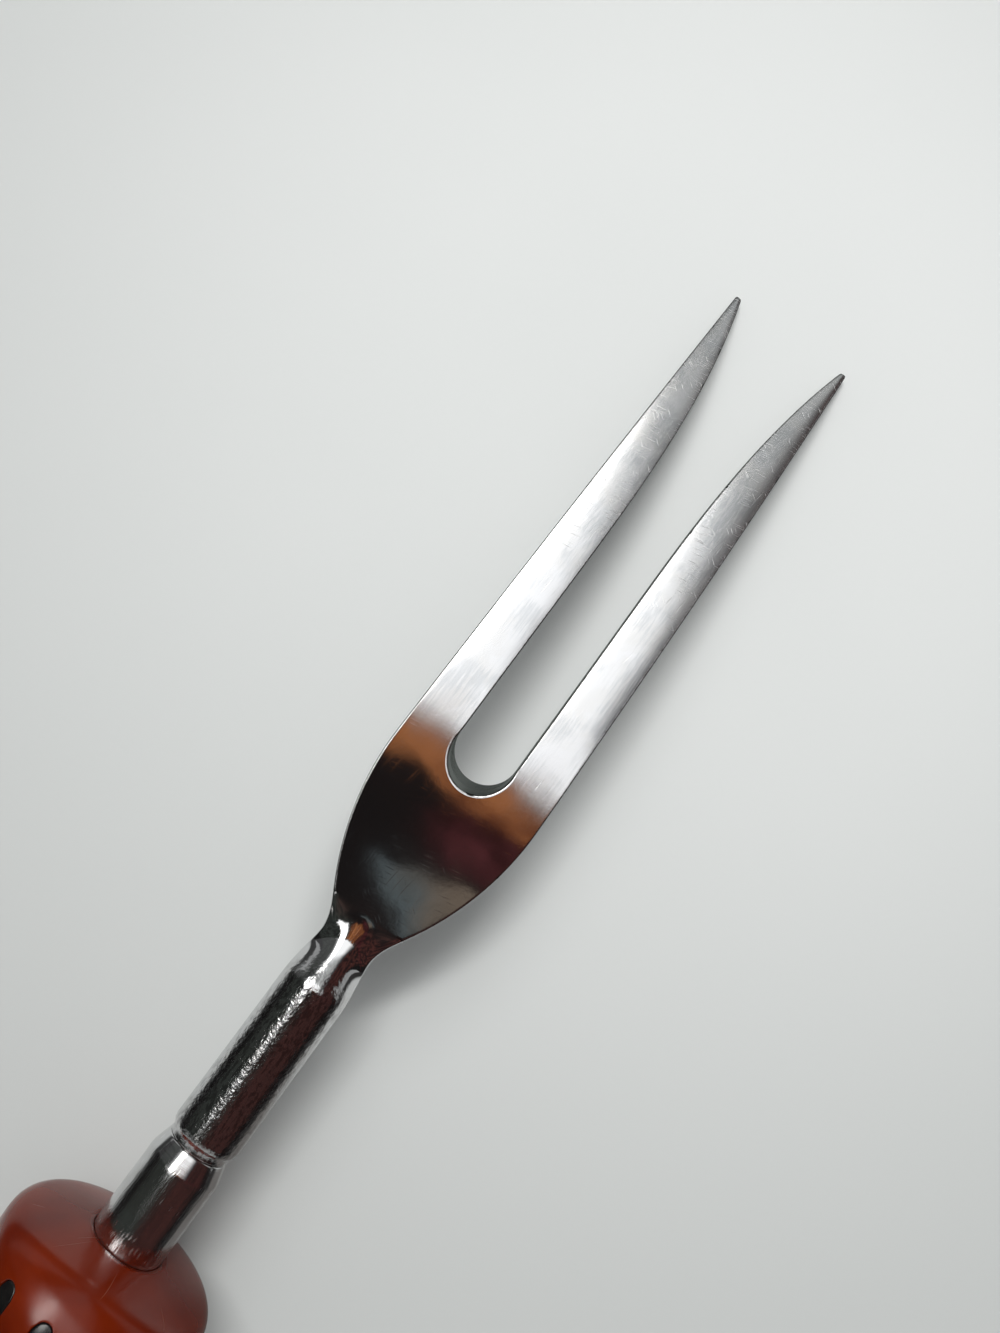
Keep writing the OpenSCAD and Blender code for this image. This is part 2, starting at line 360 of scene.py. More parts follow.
def section(station):
    """Points of one section and how far each lies on a rounded rim, from 0 to 1."""
    points, rims = [], []

    def corner(base, way, radius, above, order):
        for i in order:
            turn = math.pi / 2 * i / ROUND_STEPS
            spot = base + way * radius * (1 - math.cos(turn))
            drop = radius * (1 - math.sin(turn))
            z = top_z(spot.x) - crown - drop if above else bottom_z(spot.x) + drop
            points.append(Vector((spot.x, spot.y, z)))
            rims.append(math.sin(2 * turn))

    def flat(start, end, above):
        for share in flat_shares((end - start).length):
            spot = start.lerp(end, share)
            z = top_z(spot.x) - crown * (2 * share - 1) ** 2 if above else bottom_z(spot.x)
            points.append(Vector((spot.x, spot.y, z)))
            rims.append(0.0)

    up, down = range(ROUND_STEPS + 1), range(ROUND_STEPS, -1, -1)
    in_way, in_r, out_way, out_r = (station[k] for k in ("in_way", "in_r", "out_way", "out_r"))
    rim, foot, edge = station["rim"], station["foot"], station["edge"]
    crown = station.get("crown", 0.0)
    corner(rim, in_way, in_r, True, up)
    flat(rim + in_way * in_r, edge + out_way * out_r, True)
    corner(edge, out_way, out_r, True, down)
    corner(edge, out_way, out_r, False, up)
    flat(edge + out_way * out_r, foot + in_way * in_r, False)
    corner(foot, in_way, in_r, False, down)
    size = station.get("size", 1.0)
    if size < 1.0:
        middle = sum(points, Vector()) / len(points)
        points = [middle + (p - middle) * size for p in points]
    return points, rims


# Rounding of the shank's end at the groove: places ahead of the groove and drops
SHANK_EASE = ((0.35, 0.02), (0.12, 0.09))
SHANK_EASE_L = 0.6
GROOVE_EASE_L = 0.15
TANG_CHAMFER = 0.6
BAR_STEPS, GROOVE_STEPS = 10, 6


def shank_rows():
    """Radii of the round bar behind the neck, from the neck's end back to the tang's end."""
    rise_l = SHANK_X - JOINT_X
    rise_r = arc_radius(rise_l, SHANK_R - GROOVE_R)
    bar_end = SHANK_X + SHANK_EASE_L
    rows = [(lerp(LOFT_X, bar_end, i / BAR_STEPS), SHANK_R) for i in range(1, BAR_STEPS + 1)]
    rows += [(SHANK_X + along, SHANK_R - down) for along, down in SHANK_EASE]
    for i in range(GROOVE_STEPS + 1):
        x = lerp(SHANK_X - GROOVE_EASE_L, JOINT_X, i / GROOVE_STEPS)
        rows.append((x, GROOVE_R + arc_move(x - JOINT_X, rise_r)))
    rows += [(JOINT_X, TANG_R), (TANG_X + TANG_CHAMFER, TANG_R)]
    rows += [(TANG_X, TANG_R - TANG_CHAMFER), (TANG_X, 0.0)]
    return rows


def build_forging():
    bm = bmesh.new()
    rim_layer = bm.verts.layers.float.new("rim")
    half = [section(s) for s in horseshoe()]
    middle = len(half) - 1
    rows = 2 * middle + 1

    def place(row, column):
        points, _ = half[row if row <= middle else rows - 1 - row]
        spot = points[column % SECTION]
        return spot if row <= middle else Vector((spot.x, -spot.y, spot.z))

    points = mapped_grid(bm, rows, SECTION + 1, place)
    for (row, column), vert in points.items():
        _, rims = half[row if row <= middle else rows - 1 - row]
        vert[rim_layer] = rims[column % SECTION]

    # Open the outer wall between the neck's corners and draw the round bar out of it
    left, right = middle - NECK_STEPS, middle + NECK_STEPS
    wall = set()
    for row in range(left, right):
        for column in range(OUTER_FROM, OUTER_TO):
            corners = [points[row + i, column + j] for i in (0, 1) for j in (0, 1)]
            wall |= set.intersection(*(set(v.link_faces) for v in corners))
    loop = [points[row, OUTER_FROM].co.copy() for row in range(left, right + 1)]
    loop += [points[right, column].co.copy() for column in range(OUTER_FROM + 1, OUTER_TO)]
    loop += [points[row, OUTER_TO].co.copy() for row in range(right, left - 1, -1)]
    loop += [points[left, column].co.copy() for column in range(OUTER_TO - 1, OUTER_FROM, -1)]
    bmesh.ops.delete(bm, geom=list(wall), context="FACES")

    walk = [0.0]
    for a, b in zip(loop, loop[1:] + loop[:1]):
        walk.append(walk[-1] + (b - a).length)
    top_middle = walk[NECK_STEPS]
    turns = [math.pi / 2 + 2 * math.pi * (w - top_middle) / walk[-1] for w in walk[:-1]]
    circle = [Vector((0, math.cos(t), math.sin(t))) for t in turns]
    bar = shank_rows()

    def draw(row, column):
        k = column % len(loop)
        if row <= RAMP_ROWS:
            back = row / RAMP_ROWS
            x = lerp(PLATE_END_X, LOFT_X, back)
            wide = lerp(outer_y(x), SHANK_R, ease(back, WIDEN_FROM, 1))
            flat = Vector((0, loop[k].y / outer_y(PLATE_END_X), (loop[k].z - PLATE_Z) / (PLATE_T / 2)))
            spot = flat.lerp(circle[k], ease(back, 0, ROUND_BY))
            y = spot.y * wide
            plate = PLATE_Z + spot.z * PLATE_T / 2
            crown = math.sqrt(max(0.0, SHANK_R ** 2 - (y * SHANK_R / wide) ** 2))
            side = 1 if spot.z > 0 else -1
            face = PLATE_TOP if side > 0 else PLATE_BOTTOM
            sunk = lerp(abs(face - AXIS_Z) - SHANK_R, 0.0, smooth(back ** RAMP_POWER))
            nose = abs(plate - AXIS_Z) if (plate - AXIS_Z) * side > 0 else 0.0
            lift = blunt_max(nose, sunk + crown, CREASE_LEAST + CREASE_R * ease(back, 0, CREASE_BY))
            lift = lerp(lift, crown, ease(back, LEVEL_FROM, 1))
            return Vector((x, y, AXIS_Z + side * lift))
        x, radius = bar[row - RAMP_ROWS - 1]
        return Vector((x, 0, AXIS_Z)) + circle[k] * radius

    mapped_grid(bm, RAMP_ROWS + 1 + len(bar), len(loop) + 1, draw)
    return finish_piece(bm, "fork_steel", "fork_forging")


# Handle: a turned barrel with a domed front, and slots for the strips

SEGMENTS = 20 * FLUTES
STRIP_SEGMENTS = 8
DOME_BACK = (GRIP_R ** 2 - SOCKET_R ** 2 - DOME_RISE ** 2) / (2 * DOME_RISE)
DOME_R = math.hypot(GRIP_R, DOME_BACK)
DOME_X = FRONT_X - DOME_RISE - DOME_BACK


def edge_start(edge_r):
    """Where the rounding of the front edge begins on the barrel."""
    return DOME_X + math.sqrt((DOME_R - edge_r) ** 2 - (GRIP_R - edge_r) ** 2)


EDGE_X = edge_start(FRONT_EDGE_R)
STRIP_FRONT_X = FRONT_X - FLUTE_FRONT - FLUTE_W / 2
STRIP_REAR_X = REAR_X + FLUTE_REAR + FLUTE_W / 2
FREE_FRONT_X = EDGE_X + 0.62 * FRONT_EDGE_R
FREE_REAR_X = REAR_X + REAR_EDGE_R + 1.2
SPIGOT_SEAT_R = 5.35
SPIGOT_SEAT_X = SPIGOT_X + 0.15
BORE_R = 3.1
SOCKET_FLOOR_X = SLEEVE_END_X - 0.8
DOME_STEPS, EDGE_STEPS, LEAD_STEPS, STRIP_STEPS = 12, 10, 5, 28
STRIP_CROWD = 1.6

# Rounding of the socket's mouth: places behind the front and ways out from the mouth's own radius
MOUTH_R = SLEEVE_R + 0.02
MOUTH_L = 0.7
MOUTH_EASE = ((0.3, 0.0), (0.12, 0.03), (0.03, 0.12))


def barrel_radius(x, edge_r=FRONT_EDGE_R):
    """Radius of the barrel, its rounded front edge and its domed face."""
    start = edge_start(edge_r)
    brink = DOME_X + (start - DOME_X) * DOME_R / (DOME_R - edge_r)
    if x <= start:
        return GRIP_R
    if x < brink:
        return GRIP_R - edge_r + math.sqrt(edge_r ** 2 - (x - start) ** 2)
    return math.sqrt(DOME_R ** 2 - (x - DOME_X) ** 2)


def barrel_profile():
    """Closed section of the handle as (x, radius), from the socket's mouth over the barrel to the bore."""
    mouth = math.asin(SOCKET_R / DOME_R)
    brink = math.asin((GRIP_R - FRONT_EDGE_R) / (DOME_R - FRONT_EDGE_R))
    points = [(FRONT_X - back, MOUTH_R + out) for back, out in MOUTH_EASE]
    for i in range(1, DOME_STEPS + 1):
        turn = lerp(mouth, brink, i / DOME_STEPS)
        points.append((DOME_X + DOME_R * math.cos(turn), DOME_R * math.sin(turn)))
    for i in range(1, EDGE_STEPS + 1):
        turn = lerp(brink, math.pi / 2, i / EDGE_STEPS)
        points.append((EDGE_X + FRONT_EDGE_R * math.cos(turn), GRIP_R - FRONT_EDGE_R * (1 - math.sin(turn))))
    points += [(lerp(EDGE_X, STRIP_FRONT_X, i / LEAD_STEPS), GRIP_R) for i in range(1, LEAD_STEPS)]
    points += [(lerp(STRIP_FRONT_X, STRIP_REAR_X, (i / STRIP_STEPS) ** STRIP_CROWD), GRIP_R)
               for i in range(STRIP_STEPS + 1)]
    points.append((FREE_REAR_X, GRIP_R))
    for i in range(EDGE_STEPS + 1):
        turn = math.pi / 2 * i / EDGE_STEPS
        points.append((REAR_X + REAR_EDGE_R * (1 - math.sin(turn)),
                       GRIP_R - REAR_EDGE_R * (1 - math.cos(turn))))
    points += [(REAR_X, SPIGOT_SEAT_R), (SPIGOT_SEAT_X, SPIGOT_SEAT_R), (SPIGOT_SEAT_X, BORE_R)]
    points += [(SOCKET_FLOOR_X, BORE_R), (SOCKET_FLOOR_X, SOCKET_R), (FRONT_X - MOUTH_L, SOCKET_R)]
    return points


def build_barrel():
    """The spun handle with round-ended strips laid out on it, and the faces of those strips."""
    bm = bmesh.new()
    lathe(bm, barrel_profile(), SEGMENTS)
    bmesh.ops.remove_doubles(bm, verts=bm.verts, dist=WELD)
    bmesh.ops.recalc_face_normals(bm, faces=bm.faces)
    step = 2 * math.pi / SEGMENTS
    sector = SEGMENTS // FLUTES

    def column_of(co):
        return (math.atan2(-co.y, co.z - AXIS_Z) % (2 * math.pi)) / step % sector

    strip_faces = []
    for face in bm.faces:
        middle = face.calc_center_median()
        outside = math.hypot(middle.y, middle.z - AXIS_Z) > GRIP_R - 0.5
        if outside and STRIP_REAR_X < middle.x < STRIP_FRONT_X and column_of(middle) < STRIP_SEGMENTS:
            strip_faces.append(face)
    for vert in bm.verts:
        column = round(column_of(vert.co)) % sector
        radius = math.hypot(vert.co.y, vert.co.z - AXIS_Z)
        if not 0 < column < STRIP_SEGMENTS or radius < barrel_radius(vert.co.x) - 0.01:
            continue
        side = GRIP_R * math.sin((column - STRIP_SEGMENTS / 2) * step)
        reach = math.sqrt(max(0.0, (FLUTE_W / 2) ** 2 - side ** 2))
        x = vert.co.x
        if STRIP_FRONT_X - 1e-4 <= x < FREE_FRONT_X:
            onward = (x - STRIP_FRONT_X) / (FREE_FRONT_X - STRIP_FRONT_X)
            x = lerp(STRIP_FRONT_X + reach, FREE_FRONT_X, onward)
        elif FREE_REAR_X < x <= STRIP_REAR_X + 1e-4:
            onward = (STRIP_REAR_X - x) / (STRIP_REAR_X - FREE_REAR_X)
            x = lerp(STRIP_REAR_X - reach, FREE_REAR_X, onward)
        else:
            continue
        grow = barrel_radius(x) / radius
        vert.co = (x, vert.co.y * grow, AXIS_Z + (vert.co.z - AXIS_Z) * grow)
    turn = STRIP_SEGMENTS / 2 * step + FLUTE_TURN
    bmesh.ops.rotate(bm, cent=(0, 0, AXIS_Z), matrix=Matrix.Rotation(-turn, 3, "X"), verts=bm.verts)
    soften_front(bm)
    bm.normal_update()
    return bm, strip_faces


def soften_front(bm):
    """Eases the front edge more above and below than at the sides."""
    for vert in bm.verts:
        out = Vector((0, vert.co.y, vert.co.z - AXIS_Z))
        crisp = barrel_radius(vert.co.x)
        if vert.co.x < edge_start(FRONT_SOFT_R) or out.length < crisp - 0.01:
            continue
        edge_r = lerp(FRONT_EDGE_R, FRONT_SOFT_R, (out.z / out.length) ** 2)
        grown = out * (barrel_radius(vert.co.x, edge_r) / crisp)
        vert.co = (vert.co.x, grown.y, AXIS_Z + grown.z)


def ease_edges(bm, edges, width, segments):
    """Rounds the given edges."""
    bmesh.ops.bevel(bm, geom=edges, offset=width, offset_type="OFFSET", segments=segments, profile=0.5,
                    affect="EDGES", material=-1, clamp_overlap=True)


def build_grip():
    bm, strips = build_barrel()
    kept = set(strips)
    walls = set(bmesh.ops.inset_region(bm, faces=strips, thickness=0.02, depth=-FLUTE_DEPTH,
                                       use_boundary=True, use_even_offset=True)["faces"])
    brinks = [e for e in bm.edges if len(e.link_faces) == 2
              and sum(f in walls for f in e.link_faces) == 1 and not any(f in kept for f in e.link_faces)]
    ease_edges(bm, brinks, SLOT_EASE, 2)
    return finish_piece(bm, "amber_grip", "grip", weld=FINE_WELD)


def build_strips():
    bm, strips = build_barrel()
    kept = set(strips)
    bmesh.ops.delete(bm, geom=[f for f in bm.faces if f not in kept], context="FACES")
    gap = bmesh.ops.inset_region(bm, faces=bm.faces[:], thickness=STRIP_GAP, depth=-STRIP_SUNK,
                                 use_boundary=True, use_even_offset=True)["faces"]
    bmesh.ops.delete(bm, geom=gap, context="FACES")
    bmesh.ops.solidify(bm, geom=bm.faces[:], thickness=FLUTE_DEPTH - 2 * STRIP_SUNK)
    bm.normal_update()
    tops = {f for f in bm.faces if is_outer(f)}
    brinks = [e for e in bm.edges if len(e.link_faces) == 2 and sum(f in tops for f in e.link_faces) == 1]
    ease_edges(bm, brinks, STRIP_EASE, 3)
    return finish_piece(bm, "black_strips", "flute_inlays", weld=FINE_WELD)


def is_outer(face):
    """True for a strip's face that looks away from the handle's axis."""
    middle = face.calc_center_median()
    out = Vector((0, middle.y, middle.z - AXIS_Z))
    return face.normal.dot(out.normalized()) > 0.7 and out.length > GRIP_R - 0.6


# Chromed pieces

# Rounding where the sleeve turns into its cone: places along the fork and drops
CONE_EASE = ((-0.35, 0.015), (-0.05, 0.06), (0.25, 0.15))
SLEEVE_CHAMFER = 0.2
SLEEVE_STEPS, CONE_STEPS, SLEEVE_SEGMENTS = 8, 4, 128
CAP_MERGE = 0.002
CAP_FLAT = math.radians(0.5)
CAP_SHARP = math.radians(35)


def build_ferrule():
    """A turned sleeve with a coned front, its edges eased."""
    bm = bmesh.new()
    profile = [(SLEEVE_END_X, BORE_R), (SLEEVE_END_X, SLEEVE_R - SLEEVE_CHAMFER)]
    profile.append((SLEEVE_END_X + SLEEVE_CHAMFER, SLEEVE_R))
    for i in range(SLEEVE_STEPS + 1):
        profile.append((lerp(SLEEVE_END_X + 0.4, CONE_X - 0.7, i / SLEEVE_STEPS), SLEEVE_R))
    profile += [(CONE_X + along, SLEEVE_R - down) for along, down in CONE_EASE]
    drop = SLEEVE_R - GROOVE_R
    for i in range(CONE_STEPS + 1):
        share = i / CONE_STEPS
        profile.append((lerp(CONE_X + 0.5, JOINT_X - 0.2, share), SLEEVE_R - lerp(0.22, drop - 0.06, share)))
    profile += [(JOINT_X - 0.05, GROOVE_R - 0.02), (JOINT_X, GROOVE_R - 0.12), (JOINT_X, BORE_R)]
    lathe(bm, profile, SLEEVE_SEGMENTS)
    return finish_piece(bm, "chrome_ferrule", "ferrule")


def build_cap():
    """The screw cap's own solid, merged and with its sharp edges eased."""
    bm = bmesh.new()
    bm.from_mesh(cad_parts["end_cap"].data)
    bmesh.ops.scale(bm, vec=(1 / MM,) * 3, verts=bm.verts)
    bmesh.ops.remove_doubles(bm, verts=bm.verts, dist=CAP_MERGE)
    bmesh.ops.dissolve_limit(bm, angle_limit=CAP_FLAT, verts=bm.verts, edges=bm.edges)
    sharp = [e for e in bm.edges if len(e.link_faces) == 2 and e.calc_face_angle(0) > CAP_SHARP]
    ease_edges(bm, sharp, CAP_EASE, 3)
    piece = finish_piece(bm, "chrome_cap", "end_cap")
    even = piece.modifiers.new("even_shading", "WEIGHTED_NORMAL")
    even.keep_sharp = True
    return piece


# Node helpers


def put(tree, kind, inputs=None, **settings):
    """Adds a node, sets its options, and links or sets its inputs."""
    node = tree.nodes.new(kind)
    for key, value in settings.items():
        setattr(node, key, value)
    for key, value in (inputs or {}).items():
        if isinstance(value, bpy.types.NodeSocket):
            tree.links.new(value, node.inputs[key])
        else:
            node.inputs[key].default_value = value
    return node


def math_node(tree, operation, a, b=0.0):
    return put(tree, "ShaderNodeMath", {0: a, 1: b}, operation=operation).outputs[0]


def vector_node(tree, operation, a, b):
    return put(tree, "ShaderNodeVectorMath", {0: a, 1: b}, operation=operation).outputs[0]


def noise(tree, vector, scale, detail, **more):
    """Value of a noise texture."""
    inputs = {"Vector": vector, "Scale": scale, "Detail": detail, **more}
    return put(tree, "ShaderNodeTexNoise", inputs).outputs[0]


def added(tree, a, b):
    return math_node(tree, "ADD", a, b)


def remap(tree, value, low, high, to_low=0.0, to_high=1.0, soft=True):
    return put(tree, "ShaderNodeMapRange", {"Value": value, "From Min": low, "From Max": high,
                                            "To Min": to_low, "To Max": to_high},
               interpolation_type="SMOOTHSTEP" if soft else "LINEAR").outputs[0]


def both(tree, *masks):
    """Product of masks or values."""
    product = masks[0]
    for mask in masks[1:]:
        product = math_node(tree, "MULTIPLY", product, mask)
    return product


def blend_colour(tree, share, a, b):
    return put(tree, "ShaderNodeMix", {0: share, 6: a, 7: b}, data_type="RGBA").outputs[2]


def blend_value(tree, share, a, b):
    return put(tree, "ShaderNodeMix", {0: share, 2: a, 3: b}, data_type="FLOAT").outputs[0]


def new_group(name, inputs, outputs):
    """An empty node group with the named sockets: (name, socket type, default)."""
    tree = bpy.data.node_groups.new(name, "ShaderNodeTree")
    for label, kind, default in inputs:
        socket = tree.interface.new_socket(name=label, in_out="INPUT", socket_type=kind)
        if default is not None:
            socket.default_value = default
    for label, kind in outputs:
        tree.interface.new_socket(name=label, in_out="OUTPUT", socket_type=kind)
    return tree, tree.nodes.new("NodeGroupInput").outputs, tree.nodes.new("NodeGroupOutput").inputs


FLOAT, VECTOR = "NodeSocketFloat", "NodeSocketVector"


def make_scratches():
    """Short straight scratches, one in each stretched cell, some cells left clean."""
    tree, given, out = new_group(
        "short_scratches",
        [("Vector", VECTOR, None), ("Turn", VECTOR, (0, 0, 0)), ("Stretch", VECTOR, (300, 3000, 3000)),
         ("Share", FLOAT, 0.5), ("Width", FLOAT, 0.12)],
        [("Mask", FLOAT)])
    bend = put(tree, "ShaderNodeTexNoise", {"Vector": given["Vector"], "Scale": 260.0, "Detail": 1.0})
    wander = vector_node(tree, "MULTIPLY", bend.outputs["Color"], (0.0006, 0.0006, 0.0006))
    moved = vector_node(tree, "ADD", given["Vector"], wander)
    turned = put(tree, "ShaderNodeMapping", {"Vector": moved, "Rotation": given["Turn"]}).outputs[0]
    cells = vector_node(tree, "MULTIPLY", turned, given["Stretch"])
    dots = put(tree, "ShaderNodeTexVoronoi", {"Vector": cells, "Scale": 1.0}, voronoi_dimensions="2D")
    line = remap(tree, dots.outputs["Distance"], given["Width"], 0.02)
    chance = put(tree, "ShaderNodeSeparateColor", {0: dots.outputs["Color"]}).outputs
    chosen = math_node(tree, "LESS_THAN", chance[0], given["Share"])
    tree.links.new(both(tree, line, chosen, chance[1]), out["Mask"])
    return tree


def make_brushing():
    """Fine polishing lines along the piece, broken up so that none runs the whole length."""
    tree, given, out = new_group(
        "polishing_lines",
        [("Vector", VECTOR, None), ("Stretch", VECTOR, (45, 4200, 4200))],
        [("Lines", FLOAT)])
    fine = vector_node(tree, "MULTIPLY", given["Vector"], given["Stretch"])
    lines = noise(tree, fine, 1.0, 3.0, Roughness=0.6)
    strength = remap(tree, noise(tree, given["Vector"], 190.0, 2.0), 0.3, 0.7, 0.55, 1.25)
    tree.links.new(both(tree, lines, strength), out["Lines"])
    return tree


def make_smudges():
    """Soft uneven film left by handling and wiping."""
    tree, given, out = new_group(
        "handling_film", [("Vector", VECTOR, None), ("Scale", FLOAT, 120.0)], [("Film", FLOAT)])
    wide = noise(tree, given["Vector"], given["Scale"], 4.0, Roughness=0.62, Distortion=0.6)
    tree.links.new(remap(tree, wide, 0.36, 0.68), out["Film"])
    return tree


scratch_group, brush_group, film_group = make_scratches(), make_brushing(), make_smudges()


def use(tree, group, inputs):
    return put(tree, "ShaderNodeGroup", inputs, node_tree=group).outputs[0]


def scratches(tree, vector, stretch, share, width, turn=0.0):
    """Mask of short scratches, turned about Z."""
    return use(tree, scratch_group, {"Vector": vector, "Turn": (0, 0, turn), "Stretch": stretch,
                                     "Share": share, "Width": width})


def reach(tree, place, start, full):
    """Mask that grows between two places along an axis, given in millimetres."""
    return remap(tree, place, start * MM, full * MM)


def new_material(name):
    material = bpy.data.materials.new(name)
    material.use_nodes = True
    tree = material.node_tree
    shader = tree.nodes["Principled BSDF"]
    coords = tree.nodes.new("ShaderNodeTexCoord").outputs["Object"]
    return material, tree, shader, coords


MICRON = 0.000001


def surface(tree, shader, base, rough, height, unit=MICRON):
    """Links a surface's colour, roughness and relief, whose height is in the given unit."""
    made = put(tree, "ShaderNodeBump", {"Height": height, "Distance": unit, "Strength": 1.0})
    tree.links.new(base, shader.inputs["Base Color"])
    tree.links.new(rough, shader.inputs["Roughness"])
    tree.links.new(made.outputs[0], shader.inputs["Normal"])


# Materials

STEEL, STEEL_FILM = (0.70, 0.70, 0.71, 1), (0.655, 0.65, 0.645, 1)
STEEL_BRUSHED, STEEL_SPOT = (0.50, 0.515, 0.53, 1), (0.24, 0.235, 0.23, 1)
STEEL_RIM, STEEL_NICK = (0.26, 0.26, 0.25, 1), (0.04, 0.038, 0.035, 1)
STEEL_SCRATCH, PLATE_SCRATCH = (0.95, 0.95, 0.96, 1), (0.95, 0.95, 0.95, 1)
PLATE_FILM = (0.61, 0.605, 0.60, 1)
AMBER_DARK, AMBER_LIGHT = (0.095, 0.0064, 0.0003, 1), (0.154, 0.0132, 0.0008, 1)
AMBER_SCRATCH = (0.40, 0.14, 0.06, 1)
BLACK, BLACK_FILM, BLACK_RUB = (0.005, 0.0045, 0.005, 1), (0.012, 0.011, 0.010, 1), (0.08, 0.075, 0.07, 1)
FIBRE_DARK, FIBRE_LIGHT = (0.03, 0.026, 0.022, 1), (0.09, 0.08, 0.068, 1)
SCRATCH_SHOWN = 0.7


def polished_steel():
    """Drawn and polished steel: mottled bar, mirror head, brushed tines and scratched points."""
    material, tree, shader, coords = new_material("polished_steel")
    parts = put(tree, "ShaderNodeSeparateXYZ", {0: coords}).outputs
    bar = reach(tree, parts["X"], NECK_X - 2, NECK_X - 9)
    tines = reach(tree, parts["X"], CROTCH_X - 3, CROTCH_X + 9)
    points = reach(tree, parts["X"], POINT_X - 6, POINT_X + 12)
    upper = reach(tree, parts["Z"], AXIS_Z + 0.8, AXIS_Z + 3.0)
    rim = put(tree, "ShaderNodeAttribute", attribute_name="rim").outputs["Fac"]
    lines = use(tree, brush_group, {"Vector": coords, "Stretch": (55, 2900, 2900)})
    film = use(tree, film_group, {"Vector": coords, "Scale": 130.0})
    grain = noise(tree, coords, 1900.0, 3.0)
    cross = scratches(tree, coords, (230, 4600, 1), 0.34, 0.24, 1.35)
    slant = scratches(tree, coords, (260, 4800, 1), 0.14, 0.2, -0.9)
    along = scratches(tree, coords, (95, 6800, 1), 0.05, 0.2, 0.1)
    worn = both(tree, math_node(tree, "MAXIMUM", cross, slant), blend_value(tree, points, 0.04, 1.0))
    marks = math_node(tree, "MAXIMUM", worn, both(tree, along, blend_value(tree, tines, 0.06, 0.6)))

    base = blend_colour(tree, film, STEEL, STEEL_FILM)
    brushed = both(tree, remap(tree, lines, 0.3, 0.7), blend_value(tree, tines, 0.1, 0.6))
    base = blend_colour(tree, brushed, base, STEEL_BRUSHED)
    base = blend_colour(tree, both(tree, rim, 0.6), base, STEEL_RIM)
    spots = noise(tree, vector_node(tree, "MULTIPLY", coords, (900, 2000, 2000)), 1.0, 3.0, Roughness=0.65)
    mottle = both(tree, remap(tree, spots, 0.46, 0.60), bar, upper, 0.65)
    base = blend_colour(tree, mottle, base, STEEL_SPOT)
    dents = put(tree, "ShaderNodeTexVoronoi", {"Vector": coords, "Scale": 330.0})
    chance = put(tree, "ShaderNodeSeparateColor", {0: dents.outputs["Color"]}).outputs[0]
    nicks = both(tree, math_node(tree, "LESS_THAN", chance, 0.4), remap(tree, rim, 0.1, 0.4),
                 remap(tree, dents.outputs["Distance"], 0.24, 0.14))
    base = blend_colour(tree, nicks, base, STEEL_NICK)
    base = blend_colour(tree, both(tree, marks, SCRATCH_SHOWN), base, STEEL_SCRATCH)

    rough = blend_value(tree, tines, blend_value(tree, bar, 0.05, 0.13), 0.15)
    rough = blend_value(tree, points, rough, 0.23)
    rough = added(tree, rough, both(tree, film, 0.02))
    rough = added(tree, rough, both(tree, marks, 0.35))

    height = both(tree, noise(tree, coords, 170.0, 1.0), 12.0)
    height = added(tree, height, both(tree, grain, blend_value(tree, both(tree, bar, upper), 1.0, 72.0)))
    height = added(tree, height, both(tree, lines, blend_value(tree, tines, 0.5, 3.0)))
    height = math_node(tree, "SUBTRACT", height, both(tree, marks, 14.0))
    height = added(tree, height, both(tree, rim, grain, 40.0))
    shader.inputs["Metallic"].default_value = 1.0
    surface(tree, shader, base, rough, height)
    return material


def unroll(tree, coords, radius):
    """Place along the fork and place around it, both in metres, as a flat vector."""
    parts = put(tree, "ShaderNodeSeparateXYZ", {0: coords}).outputs
    angle = math_node(tree, "ARCTAN2", parts["Y"], math_node(tree, "SUBTRACT", parts["Z"], AXIS_Z * MM))
    around = both(tree, angle, radius * MM)
    return put(tree, "ShaderNodeCombineXYZ", {0: parts["X"], 1: around}).outputs[0]


def chrome_plate():
    """Bright plate over turned steel: mottled, rubbed beside the handle, turning lines on the cone."""
    material, tree, shader, coords = new_material("chrome_plate")
    parts = put(tree, "ShaderNodeSeparateXYZ", {0: coords}).outputs
    unrolled = unroll(tree, coords, SLEEVE_R)
    film = use(tree, film_group, {"Vector": coords, "Scale": 210.0})
    streaks = use(tree, brush_group, {"Vector": unrolled, "Stretch": (420, 2600, 1)})
    turning = use(tree, brush_group, {"Vector": unrolled, "Stretch": (5200, 160, 1)})
    rubbed = scratches(tree, unrolled, (420, 1900, 1), 0.9, 0.34)
    beside = both(tree, reach(tree, parts["X"], FRONT_X + 0.4, FRONT_X + 1.0),
                  reach(tree, parts["X"], FRONT_X + 3.6, FRONT_X + 2.4))
    along = scratches(tree, unrolled, (300, 4200, 1), 0.14, 0.2, 0.15)
    marks = math_node(tree, "MAXIMUM", both(tree, rubbed, beside), along)
    cone = reach(tree, parts["X"], CONE_X - 0.3, CONE_X + 0.2)
    base = blend_colour(tree, film, STEEL, PLATE_FILM)
    base = blend_colour(tree, both(tree, marks, SCRATCH_SHOWN), base, PLATE_SCRATCH)
    rough = added(tree, remap(tree, film, 0.0, 1.0, 0.10, 0.15), both(tree, marks, 0.4))
    height = both(tree, streaks, blend_value(tree, cone, 50.0, 8.0))
    height = added(tree, height, both(tree, turning, cone, 14.0))
    height = math_node(tree, "SUBTRACT", height, both(tree, marks, 6.0))
    shader.inputs["Metallic"].default_value = 1.0
    surface(tree, shader, base, rough, height)
    return material


